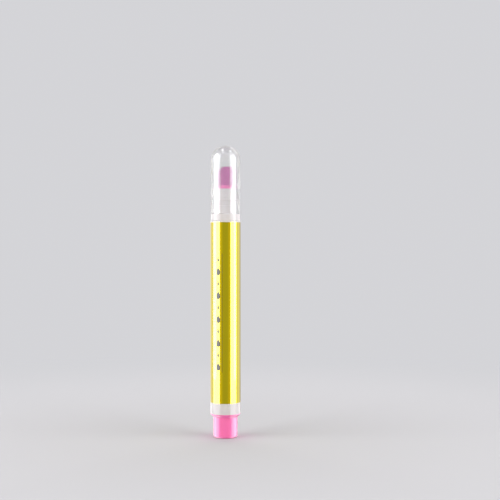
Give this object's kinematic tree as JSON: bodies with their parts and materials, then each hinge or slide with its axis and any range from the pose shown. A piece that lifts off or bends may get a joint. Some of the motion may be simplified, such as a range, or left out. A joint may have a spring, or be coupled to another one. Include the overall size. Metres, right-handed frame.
{
  "type": "nail oil pen",
  "caption": "Nail oil pen with a fibre reservoir that feeds a bevelled porous ceramic cuticle pusher tip, a clear domed pull-off cap and a film-wrapped barrel.",
  "frame": {"origin": "middle of the tail plug's end face, on the pen's axis", "axes": "+Z along the pen's axis towards the tip and cap; the tip's bevel faces -X; the label's seam is at +Y, behind"},
  "size_m": [0.013, 0.013, 0.1236],
  "materials": {
    "clear_plastic": "clear moulded plastic, polished",
    "porous_ceramic": "fine porous ceramic, matte, mauve pink",
    "ring_plastic": "moulded, satin, bright pink",
    "white_plastic": "moulded, gloss, white",
    "gold_film": "metallised plastic film, mirror gloss, yellow gold",
    "pink_plastic": "moulded, gloss, bright pink",
    "fibre": "bundled polyester fibre, soaked in oil",
    "sleeve_film": "thin clear film"
  },
  "bodies": {
    "pen": {"barrel": "white_plastic", "label_film": "gold_film", "nozzle": "white_plastic", "tip_ring": "ring_plastic", "ceramic_tip": "porous_ceramic", "feed_wick": "fibre", "oil_reservoir": "fibre", "reservoir_film": "sleeve_film", "tail_plug": "pink_plastic"},
    "cap": {"cap": "clear_plastic"}
  },
  "joints": [
    {"name": "cap_pull", "type": "slide", "parent": "pen", "child": "cap", "axis": [0, 0, 1], "range_m": [0, 0.03]}
  ]
}
